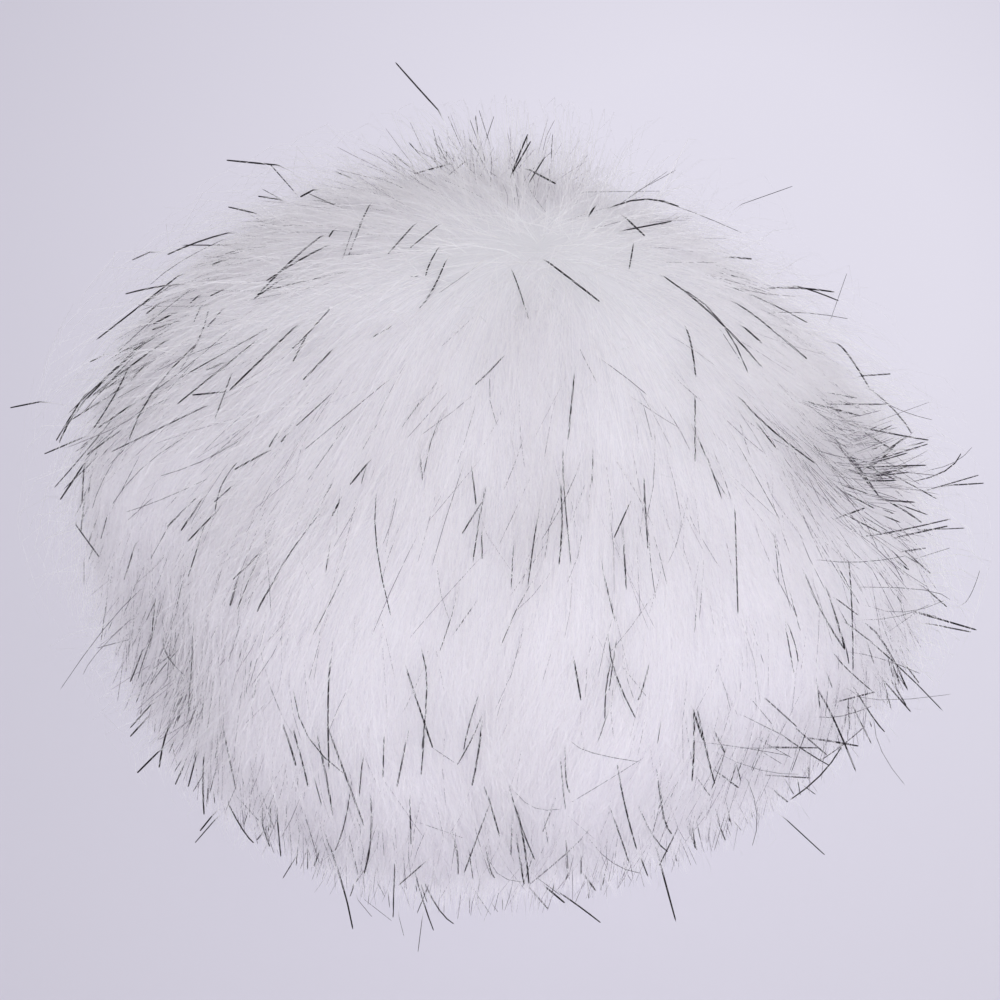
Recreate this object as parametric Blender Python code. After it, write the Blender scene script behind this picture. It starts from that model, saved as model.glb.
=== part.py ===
"""A long-pile fur pom pom, about 120 mm across, resting on its flattened underside.

It is one solid. The body is the packed underfur, an oblate ball pressed flat where it rests, that fills
the fur to within a few millimetres of its outline. The ends of the pile stand on it as some three hundred
three-sided locks, each drawn out of one triangle of the body's own skin. They lie away from a whorl at the
crown, hang down the sides and are short underneath. The origin is the centre of the flat underside, and
+Z points up to the crown.
"""

import math
from collections import namedtuple

import bmesh
import bpy
from mathutils import Matrix, Vector, noise

# The packed underfur, in metres
BODY_RADIUS = 0.0563
BODY_HALF_HEIGHT = 0.0455
BODY_CENTRE = Vector((0.0, 0.0, 0.0435))
LUMP_HEIGHT = 0.0012
LUMP_COUNT = 3.4
UNDERSIDE_REACH = 0.0005

# The outline that the tips of the pile reach
PILE_RADIUS = 0.062
PILE_HALF_HEIGHT = 0.048
PILE_CENTRE = Vector((0.0, 0.0, 0.047))

# The whorl leans a little to the right of the crown, and the pile is combed away from it
UP = Vector((0.0, 0.0, 1.0))
WHORL = Vector((math.sin(math.radians(6)), 0.0, math.cos(math.radians(6))))

# One lock, at its widest. Its section is a triangle with a flat side towards the body.
LOCK_WIDTH = 0.0064
LOCK_THICKNESS = 0.0022
CORNER_ANGLES = (math.radians(210), math.radians(330), math.radians(90))
LEAST_ROOT_HEIGHT = 0.0040
LEAST_TIP_HEIGHT = 0.0030

# Patches of the pile are longer than others or sway to one side: the higher the number, the smaller they are
LENGTH_VARIATION = 0.0018
LENGTH_PATCHES = 4.0
SWAY = math.radians(9)
SWAY_PATCHES = 2.5
SWAY_SHIFT = Vector((0.0, 0.0, 7.0))

# The sections of a lock, as shares of its travel along the skin, its rise off it, its width and its
# thickness, and how much of the shape of the section before is gone
Section = namedtuple("Section", "travel rise width thickness change")
SECTIONS = (
    Section(travel=0.15, rise=0.25, width=1.00, thickness=1.00, change=0.50),
    Section(travel=0.42, rise=0.52, width=0.86, thickness=0.82, change=0.85),
    Section(travel=0.72, rise=0.79, width=0.52, thickness=0.50, change=1.00),
    Section(travel=1.00, rise=1.00, width=0.00, thickness=0.00, change=1.00),
)

# The pile round the ball, by the angle of the root from the crown, in degrees: the angle it travels over
# the ball, its rise as a share of the way to the outline, how far its tip sinks, and its width
Pile = namedtuple("Pile", "angle travel rise sink width")
PILE = (
    Pile(angle=0, travel=18, rise=1.00, sink=0.000, width=0.95),
    Pile(angle=40, travel=19, rise=1.00, sink=0.000, width=1.00),
    Pile(angle=80, travel=18, rise=1.00, sink=0.001, width=1.00),
    Pile(angle=105, travel=12, rise=1.00, sink=0.003, width=0.85),
    Pile(angle=125, travel=4, rise=0.95, sink=0.005, width=0.70),
    Pile(angle=150, travel=-3, rise=0.90, sink=0.004, width=0.60),
    Pile(angle=180, travel=-6, rise=0.90, sink=0.002, width=0.50),
)

# Where the fur is fuller than the rest: the packed underfur swells, and the locks reach further out and lie
# over less. On the thin flank both are sunk. The swell and what the locks are longer by are in metres.
Tuft = namedtuple("Tuft", "name heading angle reach swell longer upright")
TUFTS = (
    Tuft("crown", heading=96, angle=24, reach=26, swell=0.0010, longer=0.0052, upright=0.65),
    Tuft("right", heading=4, angle=66, reach=23, swell=-0.0010, longer=0.0054, upright=0.30),
    Tuft("right_low", heading=-22, angle=92, reach=24, swell=0.0000, longer=0.0026, upright=0.20),
    Tuft("left_shoulder", heading=164, angle=58, reach=34, swell=0.0015, longer=0.0032, upright=0.15),
    Tuft("left_back", heading=130, angle=48, reach=32, swell=0.0020, longer=0.0034, upright=0.15),
    Tuft("left_low", heading=200, angle=88, reach=28, swell=0.0008, longer=0.0030, upright=0.15),
    Tuft("front_hem", heading=248, angle=96, reach=22, swell=0.0006, longer=0.0026, upright=0.10),
    Tuft("thin_flank", heading=46, angle=52, reach=38, swell=-0.0036, longer=-0.0034, upright=0.00),
)


def blend(low, high, share):
    return low + (high - low) * share


def heading_vector(heading, angle):
    """Unit vector at this heading round +Z, from +X, and this angle down from the crown, in degrees."""
    turn = math.radians(heading)
    down = math.radians(angle)
    return Vector((math.cos(turn) * math.sin(down), math.sin(turn) * math.sin(down), math.cos(down)))


def pile_at(angle):
    """The pile's row at this angle from the crown, between the two nearest rows of PILE."""
    for above, below in zip(PILE, PILE[1:]):
        if angle <= below.angle:
            share = (angle - above.angle) / (below.angle - above.angle)
            return Pile(*(blend(a, b, share) for a, b in zip(above, below)))
    return PILE[-1]


def tuft_strength(tuft, direction):
    """1 in the middle of the tuft, falling smoothly to 0 at its reach."""
    apart = math.degrees(direction.angle(heading_vector(tuft.heading, tuft.angle)))
    return max(0.0, 1.0 - (apart / tuft.reach) ** 2) ** 2


def on_ball(direction, centre, radius, half_height):
    return centre + Vector((direction.x * radius, direction.y * radius, direction.z * half_height))


def on_underfur(direction, lump):
    """The point of the packed underfur in this direction, swollen under the tufts and by this lump."""
    swell = lump + sum(tuft.swell * tuft_strength(tuft, direction) for tuft in TUFTS)
    return on_ball(direction, BODY_CENTRE, BODY_RADIUS + swell, BODY_HALF_HEIGHT + swell)


def on_skin(direction):
    """The point of the lumpy, flat-bottomed body in this direction from its centre."""
    point = on_underfur(direction, LUMP_HEIGHT * noise.noise(direction * LUMP_COUNT))
    if point.z < UNDERSIDE_REACH:
        point.z = 0.0
    return point


def body_mesh():
    """The body's skin, and the triangle and the direction that each lock grows from.

    A coarse ball's triangles are each split in four. The middle one, whose corners are all new, is a root.
    """
    skin = bmesh.new()
    bmesh.ops.create_icosphere(skin, subdivisions=3, radius=1.0)
    split = bmesh.ops.subdivide_edges(skin, edges=skin.edges[:], cuts=1, use_grid_fill=True)
    middles = {part for part in split["geom_inner"] if isinstance(part, bmesh.types.BMVert)}
    roots = []
    for face in skin.faces:
        if middles.issuperset(face.verts):
            roots.append((face, face.calc_center_median().normalized()))
    for vertex in skin.verts:
        vertex.co = on_skin(vertex.co.normalized())
    return skin, [root for root in roots if root[0].calc_center_median().z > LEAST_ROOT_HEIGHT]


def lock_path(middle, outward):
    """The middles of a lock's sections from the root on, its sideways direction and its share of full width.

    The lock travels over the ball away from the whorl while it rises from the skin to the pile's outline.
    """
    pile = pile_at(math.degrees(outward.angle(UP)))
    tufts = [(tuft, tuft_strength(tuft, outward)) for tuft in TUFTS]
    longer = sum(tuft.longer * strength for tuft, strength in tufts)
    upright = sum(tuft.upright * strength for tuft, strength in tufts)
    longer += LENGTH_VARIATION * noise.noise(outward * LENGTH_PATCHES)
    sway = SWAY * noise.noise(outward * SWAY_PATCHES + SWAY_SHIFT)
    sideways = Matrix.Rotation(sway, 3, outward) @ WHORL.cross(outward).normalized()

    points = [middle]
    for section in SECTIONS:
        travel = math.radians(pile.travel * section.travel * (1.0 - upright))
        direction = Matrix.Rotation(travel, 3, sideways) @ outward
        skin = on_underfur(direction, 0.0)
        outward_gap = on_ball(direction, PILE_CENTRE, PILE_RADIUS, PILE_HALF_HEIGHT) - skin
        length = outward_gap.length * pile.rise + longer
        point = skin + outward_gap.normalized() * (length * section.rise)
        point.z = max(point.z - pile.sink * section.travel, LEAST_TIP_HEIGHT)
        points.append(point)
    return points, sideways, pile.width


def shape_section(face, point, across, through, change):
    """Moves a new section to its point and turns it towards its own shape, with the least twist."""
    middle = face.calc_center_median()
    offsets = [vertex.co - middle for vertex in face.verts]
    corners = [across * math.cos(angle) + through * math.sin(angle) for angle in CORNER_ANGLES]
    orders = [corners[turn:] + corners[:turn] for turn in range(3)]
    nearest = max(orders, key=lambda order: sum(a.dot(b) for a, b in zip(offsets, order)))
    for vertex, offset, corner in zip(face.verts, offsets, nearest):
        vertex.co = point + offset.lerp(corner, change)


def grow_lock(skin, root, outward):
    """Draws the root triangle out along its lock's path and closes it in a point."""
    points, sideways, width = lock_path(root.calc_center_median(), outward)
    face = root
    for section, before, point, after in zip(SECTIONS, points, points[1:], points[2:]):
        ridge = (after - before).cross(sideways).normalized()
        across = sideways * (LOCK_WIDTH * width * section.width / math.sqrt(3))
        through = ridge * (LOCK_THICKNESS * width * section.thickness * 2 / 3)
        face = bmesh.ops.extrude_discrete_faces(skin, faces=[face])["faces"][0]
        shape_section(face, point, across, through, section.change)
    bmesh.ops.poke(skin, faces=[face])["verts"][0].co = points[-1]


def fur_material():
    material = bpy.data.materials.new("white_fur")
    material.use_nodes = True
    shader = material.node_tree.nodes["Principled BSDF"]
    shader.inputs["Base Color"].default_value = (0.86, 0.85, 0.87, 1.0)
    shader.inputs["Roughness"].default_value = 0.75
    shader.inputs["Sheen Weight"].default_value = 0.3
    return material


def main():
    for old in list(bpy.data.objects):
        bpy.data.objects.remove(old)
    pom_pom = bpy.data.collections.new("pom_pom")
    bpy.context.scene.collection.children.link(pom_pom)

    skin, roots = body_mesh()
    for root, outward in roots:
        grow_lock(skin, root, outward)

    mesh = bpy.data.meshes.new("fur_ball")
    skin.to_mesh(mesh)
    skin.free()
    mesh.materials.append(fur_material())
    mesh.shade_smooth()
    mesh.set_sharp_from_angle(angle=math.radians(40))
    fur_ball = bpy.data.objects.new("fur_ball", mesh)
    pom_pom.objects.link(fur_ball)


main()
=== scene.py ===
import math
from collections import namedtuple

import bpy
import numpy as np
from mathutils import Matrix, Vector
from mathutils.kdtree import KDTree


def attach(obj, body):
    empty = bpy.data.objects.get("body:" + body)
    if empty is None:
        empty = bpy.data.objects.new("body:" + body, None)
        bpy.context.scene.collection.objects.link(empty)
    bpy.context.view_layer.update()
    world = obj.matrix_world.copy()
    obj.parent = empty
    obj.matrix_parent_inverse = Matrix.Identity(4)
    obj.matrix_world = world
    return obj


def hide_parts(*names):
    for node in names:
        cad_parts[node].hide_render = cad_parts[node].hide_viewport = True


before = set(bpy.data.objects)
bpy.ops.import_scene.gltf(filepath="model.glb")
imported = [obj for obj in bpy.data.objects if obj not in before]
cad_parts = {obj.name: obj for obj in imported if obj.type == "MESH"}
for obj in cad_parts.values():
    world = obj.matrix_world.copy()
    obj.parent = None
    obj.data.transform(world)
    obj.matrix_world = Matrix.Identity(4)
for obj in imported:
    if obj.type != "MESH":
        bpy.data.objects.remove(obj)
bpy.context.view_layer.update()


# The camera. It looks down on the ball of fur from about a third of the way up, through a long lens. The
# ball's middle lies a little right of the middle of the picture, and below it.
BALL_MIDDLE = Vector((0.0, 0.0, 0.047))
CAMERA_RISE = math.radians(32)
CAMERA_DISTANCE = 0.600
NEAREST_IN_VIEW = 0.05
METRES_PER_PIXEL = 0.0001455
PICTURE_PIXELS = 1000
MIDDLE_IN_PICTURE = (505, 512)
SENSOR_MM = 36.0

looking = Vector((0.0, math.cos(CAMERA_RISE), -math.sin(CAMERA_RISE)))
picture_right = Vector((1.0, 0.0, 0.0))
picture_up = Vector((0.0, math.sin(CAMERA_RISE), math.cos(CAMERA_RISE)))
right_of_middle = MIDDLE_IN_PICTURE[0] - PICTURE_PIXELS / 2
below_middle = MIDDLE_IN_PICTURE[1] - PICTURE_PIXELS / 2
aim = BALL_MIDDLE + (picture_up * below_middle - picture_right * right_of_middle) * METRES_PER_PIXEL

camera_data = bpy.data.cameras.new("camera")
camera_data.sensor_width = SENSOR_MM
camera_data.lens = SENSOR_MM * CAMERA_DISTANCE / (METRES_PER_PIXEL * PICTURE_PIXELS)
camera_data.clip_start = NEAREST_IN_VIEW
camera = bpy.data.objects.new("camera", camera_data)
camera.location = aim - looking * CAMERA_DISTANCE
camera.rotation_euler = looking.to_track_quat("-Z", "Y").to_euler()
bpy.context.collection.objects.link(camera)
bpy.context.scene.camera = camera


# The underfur: the short dense wool next to the fur cloth, gathered with it round the filling. It is a
# squashed ball, pressed flat where it rests. Only slivers of it show between the hairs of the pile.
SKIN_CENTRE = np.array((0.0, 0.0, 0.039))
SKIN_SIZE = np.array((0.047, 0.047, 0.041))
OUTLINE_CENTRE = np.array((0.0, 0.0, 0.047))
OUTLINE_SIZE = np.array((0.062, 0.062, 0.048))
FLOOR_CLEARANCE = 0.0002

# Lengths in the pile are shares of the way from the fur cloth, the skin, to the outline round the pile
PILE_LENGTH = 0.83
PILE_WAVES = 0.05
PILE_WAVE_COUNT = 6.0
UNDERFUR_DEPTH = 0.085
UNDERFUR_LUMPS = 0.015
UNDERFUR_LUMP_COUNT = 14.0
UNDERFUR_SPLITS = 6
PATCH_WAVES = 14
PATCH_WAVE_SPREAD = (0.6, 1.4)
PATCH_HEIGHT = 0.7

# Its wool has faint wisps that run away from the top. Its colour holds painted shade: it is a little greyer
# in the troughs between the wisps
WISPS_FROM = (0.005, 0.0, 0.0)
WISPS_ROUND = 45.0
WISPS_DOWN = 160.0
WISP_DETAIL = 5.0
WISP_RELIEF = 0.0004
WOOL_AND_TROUGH_SHADE_COLOURS = ((0.30, (0.84, 0.83, 0.865, 1.0)), (0.70, (0.93, 0.92, 0.95, 1.0)))

# Where the cloth is gathered or the pile is brushed up it stands out in tufts, and in places it is thinner.
# Heading, angle down from the crown and reach are in degrees. The white hairs are all fuller by a share, the
# longest ones and the dark ones are longer too, and all stand more upright. Crowding and smoke say how much
# more thickly the two kinds of dark hair grow.
Tuft = namedtuple("Tuft", "name heading angle reach fuller longer upright crowding smoke")
TUFTS = (
    Tuft("crown", 90, 31, 20, fuller=0.06, longer=0.55, upright=0.75, crowding=0.8, smoke=3.0),
    Tuft("crown_right", 40, 22, 14, fuller=0.00, longer=0.20, upright=0.30, crowding=0.5, smoke=1.4),
    Tuft("right", -21, 60, 21, fuller=-0.05, longer=0.45, upright=0.80, crowding=0.5, smoke=0.8),
    Tuft("right_heart", -22, 60, 9, fuller=0.00, longer=0.25, upright=0.10, crowding=9.0, smoke=9.0),
    Tuft("right_flank", -21, 48, 18, fuller=-0.03, longer=0.00, upright=0.20, crowding=0.4, smoke=8.0),
    Tuft("right_low", -22, 98, 26, fuller=-0.05, longer=0.32, upright=0.45, crowding=0.0, smoke=-0.05),
    Tuft("thin_hem", -54, 120, 40, fuller=-0.52, longer=0.22, upright=0.40, crowding=0.1, smoke=0.4),
    Tuft("left_shoulder", 164, 58, 34, fuller=0.10, longer=0.04, upright=-0.25, crowding=1.5, smoke=0.4),
    Tuft("left_back", 130, 48, 32, fuller=0.14, longer=0.02, upright=-0.20, crowding=0.5, smoke=0.3),
    Tuft("left_low", 209, 89, 30, fuller=-0.46, longer=0.12, upright=0.20, crowding=0.0, smoke=0.0),
    Tuft("left_side", 214, 44, 26, fuller=0.00, longer=0.00, upright=0.00, crowding=0.0, smoke=1.1),
    Tuft("left_hem", 217, 88, 14, fuller=0.00, longer=0.10, upright=0.10, crowding=0.6, smoke=0.6),
    Tuft("front_hem", 256, 122, 32, fuller=0.00, longer=0.55, upright=0.00, crowding=0.1, smoke=0.0),
    Tuft("thin_flank", 24, 56, 42, fuller=-0.36, longer=-0.24, upright=0.00, crowding=0.0, smoke=0.1),
)


def unit(vectors):
    return vectors / np.maximum(np.linalg.norm(vectors, axis=-1, keepdims=True), 1e-9)


def patches(directions, fineness, seed):
    """Smooth patchy variation over the ball, from about -1 to 1. A higher fineness gives smaller patches."""
    chance = np.random.default_rng(seed)
    total = np.zeros(directions.shape[:-1])
    for _ in range(PATCH_WAVES):
        wave = unit(chance.normal(size=3)) * fineness * chance.uniform(*PATCH_WAVE_SPREAD)
        total += np.sin(directions @ wave + chance.uniform(0.0, 2.0 * math.pi))
    return total * math.sqrt(2.0 / PATCH_WAVES) * PATCH_HEIGHT


def in_the_pile(directions, share):
    """The point this share of the way from the fur cloth to the pile's outline, in each direction."""
    skin = SKIN_CENTRE + directions * SKIN_SIZE
    outline = OUTLINE_CENTRE + directions * OUTLINE_SIZE
    points = skin + (outline - skin) * np.asarray(share)[..., None]
    points[..., 2] = np.maximum(points[..., 2], FLOOR_CLEARANCE)
    return points


def tuft_strength(directions, heading, angle, reach):
    """1 in the middle of a tuft, falling smoothly to 0 at its reach."""
    turn = math.radians(heading)
    down = math.radians(angle)
    middle = np.array((math.cos(turn) * math.sin(down), math.sin(turn) * math.sin(down), math.cos(down)))
    apart = np.degrees(np.arccos(np.clip(directions @ middle, -1.0, 1.0)))
    return np.clip(1.0 - (apart / reach) ** 2, 0.0, None) ** 2


def over_tufts(directions, column):
    """This column of the tufts at each direction, added up over them."""
    return sum(
        getattr(tuft, column) * tuft_strength(directions, tuft.heading, tuft.angle, tuft.reach)
        for tuft in TUFTS
    )


def pile_length(directions):
    """How far the white pile stands off the cloth, as a share of the way to its outline."""
    waves = PILE_WAVES * patches(directions, PILE_WAVE_COUNT, seed=21)
    return PILE_LENGTH + over_tufts(directions, "fuller") + waves


def make_material(name):
    material = bpy.data.materials.new(name)
    material.use_nodes = True
    material.node_tree.nodes.clear()
    return material, material.node_tree.nodes, material.node_tree.links


def vector_step(nodes, operation, by=None):
    """A node that does this to a vector, with this second vector where it takes one."""
    step = nodes.new("ShaderNodeVectorMath")
    step.operation = operation
    if by is not None:
        step.inputs[1].default_value = by
    return step


def colour_ramp(nodes, stops):
    """A node that blends through these stops, each a place from 0 to 1 and its colour."""
    ramp = nodes.new("ShaderNodeValToRGB")
    for element, (place, colour) in zip(ramp.color_ramp.elements, stops):
        element.position = place
        element.color = colour
    for place, colour in stops[2:]:
        ramp.color_ramp.elements.new(place).color = colour
    return ramp


bpy.ops.mesh.primitive_ico_sphere_add(subdivisions=UNDERFUR_SPLITS, radius=1.0)
underfur = bpy.context.object
underfur.name = "packed_underfur"
corners = np.empty(len(underfur.data.vertices) * 3)
underfur.data.vertices.foreach_get("co", corners)
underfur_directions = unit(corners.reshape(-1, 3))
lumps = UNDERFUR_LUMPS * patches(underfur_directions, UNDERFUR_LUMP_COUNT, seed=3)
underfur_share = pile_length(underfur_directions) - UNDERFUR_DEPTH + lumps
underfur.data.vertices.foreach_set("co", in_the_pile(underfur_directions, underfur_share).ravel())
underfur.data.shade_smooth()

underfur_wool, nodes, links = make_material("underfur_wool")
wool_place = nodes.new("ShaderNodeTexCoord")
off_parting = vector_step(nodes, "SUBTRACT", by=WISPS_FROM)
level = vector_step(nodes, "MULTIPLY", by=(1.0, 1.0, 0.0))
level_direction = vector_step(nodes, "NORMALIZE")
round_scale = vector_step(nodes, "SCALE")
round_scale.inputs["Scale"].default_value = WISPS_ROUND
down_scale = vector_step(nodes, "MULTIPLY", by=(0.0, 0.0, WISPS_DOWN))
combed = vector_step(nodes, "ADD")
wool_wisps = nodes.new("ShaderNodeTexNoise")
wool_wisps.inputs["Scale"].default_value = 1.0
wool_wisps.inputs["Detail"].default_value = WISP_DETAIL
# Painted shade: the wisps' height also greys the wool's colour in their troughs
wool_and_trough_shade = colour_ramp(nodes, WOOL_AND_TROUGH_SHADE_COLOURS)
wool_relief = nodes.new("ShaderNodeBump")
wool_relief.inputs["Strength"].default_value = 0.3
wool_relief.inputs["Distance"].default_value = WISP_RELIEF
wool = nodes.new("ShaderNodeBsdfPrincipled")
wool.inputs["Roughness"].default_value = 0.85
wool.inputs["Sheen Weight"].default_value = 0.3
wool_output = nodes.new("ShaderNodeOutputMaterial")
links.new(wool_place.outputs["Object"], off_parting.inputs[0])
links.new(off_parting.outputs["Vector"], level.inputs[0])
links.new(level.outputs["Vector"], level_direction.inputs[0])
links.new(level_direction.outputs["Vector"], round_scale.inputs[0])
links.new(off_parting.outputs["Vector"], down_scale.inputs[0])
links.new(round_scale.outputs["Vector"], combed.inputs[0])
links.new(down_scale.outputs["Vector"], combed.inputs[1])
links.new(combed.outputs["Vector"], wool_wisps.inputs["Vector"])
links.new(wool_wisps.outputs["Fac"], wool_and_trough_shade.inputs["Fac"])
links.new(wool_and_trough_shade.outputs["Color"], wool.inputs["Base Color"])
links.new(wool_wisps.outputs["Fac"], wool_relief.inputs["Height"])
links.new(wool_relief.outputs["Normal"], wool.inputs["Normal"])
links.new(wool.outputs["BSDF"], wool_output.inputs["Surface"])
underfur.data.materials.append(underfur_wool)

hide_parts("fur_ball")
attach(underfur, "root")


# The white pile: the long fine hairs of the faux fur, knitted into its cloth and brushed away from a short
# parting at the top. They lean over one another, run together into soft locks and fray into a fringe round
# the outline. Low down the locks end in wisps. It is one pile, in five pieces that divide its many hairs.
PILE_SEED = 11
PILE_HAIRS = 118000
PILE_SPARE = 1.6
CROWN_ABOVE = 0.97
CROWN_KEPT = 1.0
SIDES_KEPT = 0.8
UNDERSIDE_BELOW = -0.55
UNDERSIDE_KEPT = 0.35
TOP_FROM = 0.62
TOP = 4
PILE_SIDES = ("right", "back", "left", "front", "top")

# One hair: its joints, how deep in the pile it starts, its width and its lean
HAIR_JOINTS = 4
HAIR_DEPTH = 0.17
HAIR_WIDTH = 0.000070
HAIR_WIDTH_SPREAD = (0.7, 1.3)
HAIR_TAPER = np.array((1.0, 1.0, 0.85, 0.6, 0.0))
HAIR_ROLL = 0.8
HAIR_SWAY = 0.11
HAIR_TRAVEL_SPREAD = (0.70, 1.25)
LEANING_POWER = 1.25
RISING_POWER = 1.9
TONES = (0.01, 0.99)
TONE_ASIDE = 0.004

# How much longer than the rest some hairs are. The long ones and the flyaways sway more, too.
LENGTH_SPREAD = 0.085
LONG_HAIRS = 0.33
LONG_HAIR_EXTRA = 0.20
LONG_HAIR_TUFT_SHARE = (0.2, 0.9)
LONG_HAIR_SWAY = 0.22
FLYAWAYS = 0.012
FLYAWAY_EXTRA = (0.1, 0.60)
LONGEST = 1.62

# The locks that the hairs are pulled into, which are wisps from the hem down
LOCKS = 3600
LOCK_RISE = 0.04
LOCK_RISE_SPREAD = 0.05
LOCK_SWAY = 0.08
LOCK_TRAVEL_SPREAD = (0.85, 1.15)
LOCK_PULL = 0.25
LOCK_PULL_POWER = 1.3
LONG_HAIR_PULL = 0.3
PATCH_SWAY = 0.14
PATCH_SWAY_COUNT = 8.0
HEM_FROM = -0.15
HEM_DEPTH = 0.40
WISP_EXTRA = 0.30
WISP_PULL = 2.0

# The parting runs between these two leans to the right, and close to it the pile is tousled
PARTING = (math.radians(1.5), math.radians(8.0))
TOUSLED_REACH = 5.0
TOUSLED_TURN = 1.6

# How the pile lies, by the angle of its root from the crown, in degrees: the angle that it travels over the
# ball and how far its tip sinks, in metres
Lie = namedtuple("Lie", "angle travel sink")
LIES = (
    Lie(angle=0, travel=22, sink=0.001),
    Lie(angle=40, travel=27, sink=0.001),
    Lie(angle=80, travel=25, sink=0.001),
    Lie(angle=105, travel=15, sink=0.003),
    Lie(angle=125, travel=5, sink=0.005),
    Lie(angle=150, travel=-3, sink=0.004),
    Lie(angle=180, travel=-6, sink=0.002),
)

# Its fibres: a little greyer near the root, and each a touch cooler or warmer than the next
WHITE_ALONG = ((0.0, (0.975, 0.97, 0.975, 1.0)), (0.6, (0.988, 0.982, 0.992, 1.0)))
WHITE_TONES = (
    (0.0, (0.985, 0.983, 0.995, 1.0)),
    (0.5, (1.0, 1.0, 1.0, 1.0)),
    (1.0, (1.0, 0.993, 0.982, 1.0)),
)
LIGHT_THROUGH = 0.5


def turned(vectors, axes, angles):
    """The vectors turned about their axes, each by its own angle."""
    cosine = np.cos(angles)[..., None]
    sine = np.sin(angles)[..., None]
    along = np.sum(axes * vectors, axis=-1, keepdims=True)
    return vectors * cosine + np.cross(axes, vectors) * sine + axes * along * (1.0 - cosine)


def scattered(count, chance):
    """Directions spread evenly over the ball."""
    height = chance.uniform(-1.0, 1.0, count)
    round_the_ball = chance.uniform(0.0, 2.0 * math.pi, count)
    out = np.sqrt(1.0 - height**2)
    return np.stack((out * np.cos(round_the_ball), out * np.sin(round_the_ball), height), axis=-1)


def from_crown(directions):
    """The angle down from the crown, in degrees."""
    return np.degrees(np.arccos(np.clip(directions[:, 2], -1.0, 1.0)))


def brushed(directions, chance):
    """How the pile lies at each root: the axis it leans about, the angle it travels, and how far it sinks.

    It is brushed away from the nearest point of the parting. Close to the parting it is tousled every way.
    """
    lean = np.clip(np.arctan2(directions[:, 0], directions[:, 2]), *PARTING)
    parting = np.stack((np.sin(lean), np.zeros(len(lean)), np.cos(lean)), axis=-1)
    axes = unit(np.cross(parting, directions))
    from_parting = np.degrees(np.arccos(np.clip(np.sum(parting * directions, axis=-1), -1.0, 1.0)))
    tousled = np.exp(-((from_parting / TOUSLED_REACH) ** 2))
    axes = turned(axes, directions, chance.normal(0.0, TOUSLED_TURN, len(lean)) * tousled)
    angles, travels, sinks = np.transpose(LIES)
    travel = np.interp(from_crown(directions), angles, travels)
    sink = np.interp(from_crown(directions), angles, sinks)
    return axes, np.radians(travel) * (1.0 - over_tufts(directions, "upright")), sink


def hair_paths(directions, start, rise, axes, travel, sink):
    """Points along each hair as it leans away from the parting, from its start in the pile to its tip.

    Start and rise say how far off the white pile's own length those two lie.
    """
    stops = []
    for along in np.linspace(0.0, 1.0, HAIR_JOINTS + 1):
        heading = turned(directions, axes, travel * along**LEANING_POWER)
        share = pile_length(heading) + start + (rise - start) * (1.0 - (1.0 - along) ** RISING_POWER)
        point = in_the_pile(heading, np.minimum(share, LONGEST))
        point[:, 2] -= sink * along**2
        point[:, 2] = np.maximum(point[:, 2], FLOOR_CLEARANCE)
        stops.append(point)
    return np.stack(stops, axis=1)


def outward_at(points):
    return unit((points - OUTLINE_CENTRE) / OUTLINE_SIZE**2)


def hair_mesh(name, paths, widths, tone, roll, corners=2, along=None):
    """A mesh of hairs that taper to a point: flat ones of 2 corners, or solid ones of 3.

    Its map runs from 0 at the start to 1 at the tip, and across it holds each hair's tone.
    """
    count, stops = paths.shape[:2]
    forward = unit(np.gradient(paths, axis=1))
    level_across = unit(np.cross(forward, outward_at(paths)))
    across = turned(level_across, forward, np.repeat(roll[:, None], stops, axis=1))
    facing = unit(np.cross(across, forward))
    rings = []
    for corner in range(corners):
        turn = math.pi - 2.0 * math.pi * corner / corners
        radial = across * math.cos(turn) + facing * math.sin(turn)
        rings.append(paths + radial * widths[..., None] * 0.5)
    rings = np.stack(rings, axis=2)
    vertices = np.concatenate((rings[:, :-1].reshape(count, -1, 3), paths[:, -1:]), axis=1)
    each = vertices.shape[1]

    starts = np.arange(count)[:, None] * each
    left = np.arange(1 if corners == 2 else corners)
    right = (left + 1) % corners
    lower = (np.arange(stops - 2) * corners)[:, None]
    quads = np.stack((lower + left, lower + right, lower + corners + right, lower + corners + left), axis=-1)
    quads = (starts[:, :, None] + quads.reshape(1, -1, 4)).reshape(-1, 4)
    last = (stops - 2) * corners
    tips = np.stack((last + left, last + right, np.full(len(left), each - 1)), axis=-1)
    tips = (starts[:, :, None] + tips[None]).reshape(-1, 3)
    loops = np.concatenate((quads.ravel(), tips.ravel()))
    sizes = np.concatenate((np.full(len(quads), 4), np.full(len(tips), 3)))

    mesh = bpy.data.meshes.new(name)
    mesh.vertices.add(count * each)
    mesh.vertices.foreach_set("co", vertices.ravel())
    mesh.loops.add(len(loops))
    mesh.loops.foreach_set("vertex_index", loops)
    mesh.polygons.add(len(sizes))
    mesh.polygons.foreach_set("loop_start", np.concatenate(([0], np.cumsum(sizes)[:-1])))
    mesh.update(calc_edges=True)
    mesh.polygons.foreach_set("use_smooth", np.ones(len(sizes), bool))

    along = np.linspace(0.0, 1.0, stops) if along is None else along
    along = np.append(np.repeat(along[:-1], corners), along[-1])
    aside = np.append(np.tile(np.linspace(-TONE_ASIDE, TONE_ASIDE, corners), stops - 1), 0.0)
    spots = np.empty((count, each, 2))
    spots[..., 0] = tone[:, None] + aside
    spots[..., 1] = along
    hair_map = mesh.uv_layers.new(name="OFBake")
    hair_map.uv.foreach_set("vector", spots.reshape(-1, 2)[loops].ravel())
    hairs = bpy.data.objects.new(name, mesh)
    bpy.context.collection.objects.link(hairs)
    return hairs


def hair_map_split(nodes, links):
    """A node with each hair's tone as X, and how far along the hair it is as Y."""
    hair_place = nodes.new("ShaderNodeUVMap")
    hair_place.uv_map = "OFBake"
    split = nodes.new("ShaderNodeSeparateXYZ")
    links.new(hair_place.outputs["UV"], split.inputs["Vector"])
    return split


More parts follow.
